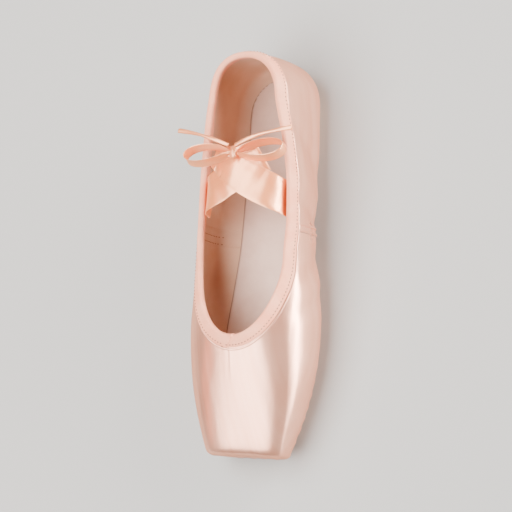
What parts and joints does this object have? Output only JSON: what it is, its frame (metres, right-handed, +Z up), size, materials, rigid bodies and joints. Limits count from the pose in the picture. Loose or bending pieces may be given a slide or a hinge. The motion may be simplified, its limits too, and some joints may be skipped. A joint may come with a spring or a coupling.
{
  "type": "pointe shoe",
  "caption": "Ballet pointe shoe with a flat toe platform, a low open collar with a folded edge binding, a thin leather sole, and ribbons crossed over the throat under a small bow.",
  "frame": {"origin": "on the surface that the sole stands on, at the centre of the shoe's length and width", "axes": "-Y toward the toe platform, +Y toward the heel, +X across, +Z up from the sole"},
  "size_m": [0.081, 0.238, 0.0678],
  "materials": {
    "satin": "glossy satin",
    "casing": "matte tape",
    "ribbon": "satin ribbon",
    "sole_leather": "suede side out, matte",
    "sock": "matte"
  },
  "bodies": {
    "root": {"outsole": "sole_leather", "upper": "satin", "insole": "sock", "collar_binding": "casing", "ribbon_left": "ribbon", "ribbon_right": "ribbon", "bow_knot": "ribbon", "bow_loop_left": "ribbon", "bow_loop_right": "ribbon", "bow_end_left": "ribbon", "bow_end_right": "ribbon"}
  },
  "joints": []
}
